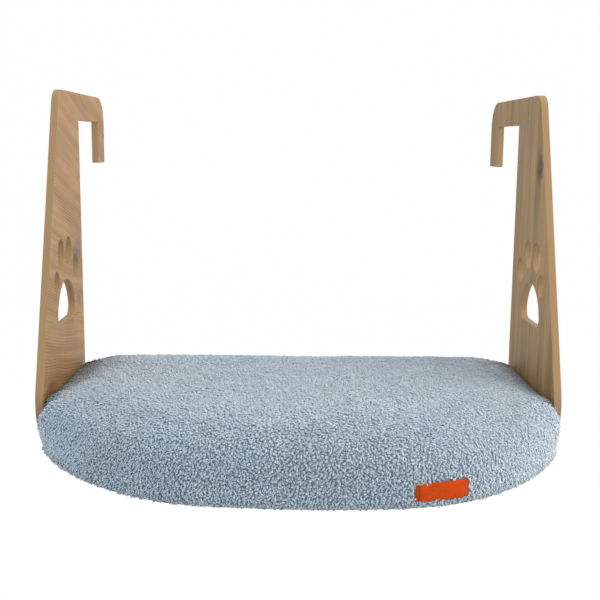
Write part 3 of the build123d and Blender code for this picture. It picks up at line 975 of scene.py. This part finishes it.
def stitch_tree():
    """Nodes that sew along lines: one arched thread at each pitch."""
    t, start = geometry_tree("sewing", "Lines", (
        ("Pitch", "Float", 0.003),
        ("Share sewn", "Float", 0.68),
        ("Thread", "Float", 0.0004),
        ("Finish", "Material", None),
    ), "Stitches")

    def corner(x, z):
        return t.add("ShaderNodeCombineXYZ", None, {0: x, 1: 0.0, 2: z})

    curve = t.add("GeometryNodeMeshToCurve", None, {0: start["Lines"]})
    spaced = {"Curve": curve, "Length": start["Pitch"]}
    points, tangent = t.add("GeometryNodeCurveToPoints", {"mode": "LENGTH"}, spaced,
                            output=("Points", "Tangent"))
    up = t.add("GeometryNodeInputNamedAttribute", {"data_type": "FLOAT_VECTOR"}, {"Name": "up"})
    turn = t.add("FunctionNodeAlignRotationToVector", {"axis": "Z"}, {"Vector": up})
    turn = t.add("FunctionNodeAlignRotationToVector", {"axis": "X", "pivot_axis": "Z"},
                 {"Rotation": turn, "Vector": tangent})
    half = start["Pitch"] * start["Share sewn"] * 0.5
    foot, arch = start["Thread"] * -0.6, start["Thread"] * 1.3
    line = t.add("GeometryNodeCurveQuadraticBezier", None, {
        "Resolution": 5, "Start": corner(-half, foot), "Middle": corner(0.0, arch),
        "End": corner(half, foot)})
    ring = t.add("GeometryNodeCurvePrimitiveCircle", {"mode": "RADIUS"},
                 {"Resolution": 6, "Radius": start["Thread"] * 0.5})
    stitch = t.add("GeometryNodeCurveToMesh", None,
                   {"Curve": line, "Profile Curve": ring, "Fill Caps": True})
    row = t.add("GeometryNodeInstanceOnPoints", None,
                {"Points": points, "Instance": stitch, "Rotation": turn})
    row = t.add("GeometryNodeRealizeInstances", None, {"Geometry": row})
    row = t.add("GeometryNodeSetMaterial", None, {"Geometry": row, "Material": start["Finish"]})
    t.add("NodeGroupOutput", None, {"Stitches": row})
    return t.tree


def stitch_piece(name, runs, finish, pitch, thread):
    """Stitches along runs, each a line of points, their outward ways, and whether it closes."""
    points = np.concatenate([run[0] for run in runs])
    ups = np.concatenate([run[1] for run in runs])
    edges, first = [], 0
    for line, _, closed in runs:
        edges += [(first + k, first + k + 1) for k in range(len(line) - 1)]
        if closed:
            edges.append((first + len(line) - 1, first))
        first += len(line)
    mesh = bpy.data.meshes.new(name)
    mesh.from_pydata([tuple(point) for point in points], edges, [])
    layer = mesh.attributes.new("up", "FLOAT_VECTOR", "POINT")
    layer.data.foreach_set("vector", np.asarray(ups, np.float32).ravel())
    piece = placed(name, mesh)
    sewing = modify(piece, "NODES", node_group=SEWING)
    set_inputs(sewing, pitch=pitch, thread=thread, finish=finish)
    apply_modifiers(piece)
    smooth(piece)
    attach(piece, "bed")
    return piece


SEWING = stitch_tree()
cover = plush_backing()
skin = BVHTree.FromObject(cover, bpy.context.evaluated_depsgraph_get())
plush_piece(cover)
foam_piece()
label_piece(skin)
underside_piece()
zip_tape_piece("upper_tape", "zip_tape_upper", 1)
zip_tape_piece("lower_tape", "zip_tape_lower", -1)
zip_stitches()

# ------------------------------------------------------------------ carried-over nodes

for name, finish in (
    ("left_hanger", OAK_LEFT), ("right_hanger", OAK_RIGHT), ("base_board", BOARD),
    ("plush_cover", BACKING), ("foam_core", FOAM), ("underside_panel", UNDERSIDE),
    ("woven_label", LABEL), ("zip_tape_upper", TAPE), ("zip_tape_lower", TAPE),
    ("zip_teeth_upper", TEETH), ("zip_teeth_lower", TEETH), ("zip_stops", ZIP_METAL),
    ("zip_slider", ZIP_METAL), ("zip_puller", ZIP_METAL),
    *((f"{kind}_{side}_{end}", STEEL) for kind in ("bolt", "barrel_nut")
      for side in ("left", "right") for end in ("front", "rear")),
):
    nodes[name].data.materials.clear()
    nodes[name].data.materials.append(finish)

# ------------------------------------------------------------------ camera, lamps, floor


def photo_camera():
    """The photograph's view: its place, and its pitch, yaw and roll in degrees."""
    place, angles = (-0.0144, -1.0203, 0.3051), (9.4747, -1.5234, 0.6377)
    pitch, yaw, roll = (math.radians(a) for a in angles)
    forward = Vector((-math.sin(yaw) * math.cos(pitch), math.cos(yaw) * math.cos(pitch),
                      -math.sin(pitch)))
    level = Vector((math.cos(yaw), math.sin(yaw), 0))
    upright = level.cross(forward)
    right = level * math.cos(roll) + upright * math.sin(roll)
    up = upright * math.cos(roll) - level * math.sin(roll)
    turn = Matrix((right, up, -forward)).transposed().to_4x4()
    data = bpy.data.cameras.new("camera")
    data.sensor_width = 36.0
    data.lens = PHOTO_LENS * data.sensor_width / PHOTO_SIZE
    data.shift_x, data.shift_y = (shift / PHOTO_SIZE for shift in PHOTO_SHIFT)
    camera = placed("camera", data)
    camera.matrix_world = Matrix.Translation(place) @ turn
    bpy.context.scene.camera = camera


def lamp(name, place, target, size, energy, colour):
    data = bpy.data.lights.new(name, "AREA")
    data.shape, data.size, data.energy, data.color = "DISK", size, energy, colour
    thing = placed(name, data)
    thing.location = place
    thing.rotation_euler = (Vector(target) - Vector(place)).to_track_quat("-Z", "Y").to_euler()


def floor_piece():
    """A pale floor below the hanging bed, which sweeps up behind it into a wall."""
    half_width, near, far, bend, wall_top, count = 6, -4, 2.4, 1.0, 4.0, 24
    profile = [(near, FLOOR_Z)]
    for row in range(count + 1):
        turn = math.pi / 2 * row / count
        profile.append((far + math.sin(turn) * bend, FLOOR_Z + (1 - math.cos(turn)) * bend))
    profile.append((far + bend, wall_top))
    points = [(x, y, z) for y, z in profile for x in (-half_width, half_width)]
    faces = [(i, i + 1, i + 3, i + 2) for i in range(0, len(points) - 2, 2)]
    f = Finish("floor")
    seen = f.add("ShaderNodeLightPath", output="Is Camera Ray")
    colour = f.blend(f.noise(f.place, 3.0, 2.0), (0.72, 0.72, 0.73, 1), (0.76, 0.76, 0.77, 1))
    diffuse = f.add("ShaderNodeBsdfDiffuse", None, {"Color": colour})
    glow = f.add("ShaderNodeEmission", None, {"Color": (1, 1, 1, 1), "Strength": 1.0})
    both = f.add("ShaderNodeMixShader", None, {0: seen * 0.985, 1: diffuse, 2: glow})
    f.add("ShaderNodeOutputMaterial", None, {"Surface": both})
    floor = mesh_piece("floor", points, faces, f.material)
    smooth(floor)


def world_light():
    """A cool light from all round; the camera, mirrors and glass see it white."""
    world = bpy.data.worlds.new("studio")
    bpy.context.scene.world = world
    world.use_nodes = True
    t = Tree(world.node_tree)
    camera, mirror, glass = t.add("ShaderNodeLightPath", output=(
        "Is Camera Ray", "Is Glossy Ray", "Is Transmission Ray"))
    seen = camera.most(mirror).most(glass)
    strength = seen * (1.0 - WORLD_LIGHT) + WORLD_LIGHT
    cool = t.blend(seen, (0.87, 0.945, 1.0, 1), (1, 1, 1, 1))
    back = t.add("ShaderNodeBackground", None, {"Color": cool, "Strength": strength})
    t.add("ShaderNodeOutputWorld", None, {"Surface": back})


photo_camera()
lamp("overhead", (0.30, -0.15, 1.9), (0.0, -0.05, 0.05), size=1.8, energy=8,
     colour=(1.0, 0.92, 0.82))
lamp("right", (1.9, -0.45, 0.80), (0.1, -0.1, 0.05), size=2.6, energy=44,
     colour=(1.0, 0.94, 0.87))
lamp("left", (-1.8, -0.60, 0.6), (-0.1, -0.1, 0.05), size=1.5, energy=6,
     colour=(1.0, 0.98, 0.95))
floor_piece()
world_light()
bpy.context.scene.view_settings.view_transform = "Standard"
